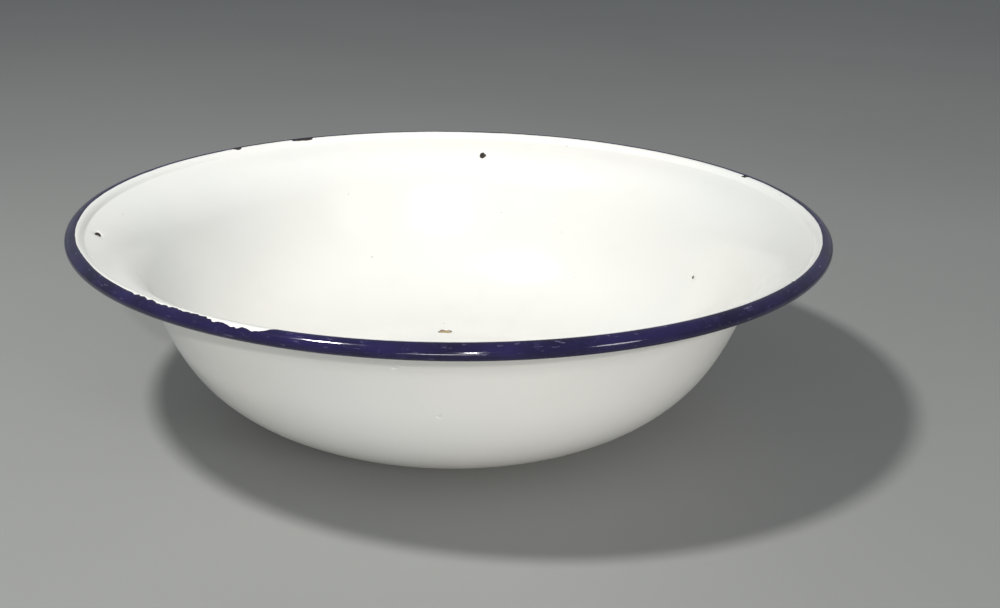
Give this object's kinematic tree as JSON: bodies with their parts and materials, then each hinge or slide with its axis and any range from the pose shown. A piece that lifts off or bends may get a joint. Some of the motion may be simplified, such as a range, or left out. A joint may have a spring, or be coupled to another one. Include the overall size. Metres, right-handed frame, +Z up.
{
  "type": "enamelled bowl",
  "caption": "Round bowl of pressed steel, enamelled white, with a flat base, a sloping flange and a blue rolled rim.",
  "frame": {"origin": "under the middle of the flat base, on the surface that the bowl stands on", "axes": "+Z up along the bowl's axis; the bowl is round, so +X and +Y are any two level directions"},
  "size_m": [0.32, 0.32, 0.085],
  "materials": {
    "steel": "bare pressed sheet, browned with rust where it shows in a chip",
    "ground_coat": "near-black fused ground coat",
    "white_enamel": "glossy white vitreous enamel, slightly warm",
    "blue_enamel": "glossy dark violet-blue vitreous enamel"
  },
  "bodies": {
    "root": {"steel_shell": "steel", "ground_coat_inside": "ground_coat", "ground_coat_outside": "ground_coat", "white_enamel_inside": "white_enamel", "white_enamel_outside": "white_enamel", "blue_rim_enamel": "blue_enamel"}
  },
  "joints": []
}
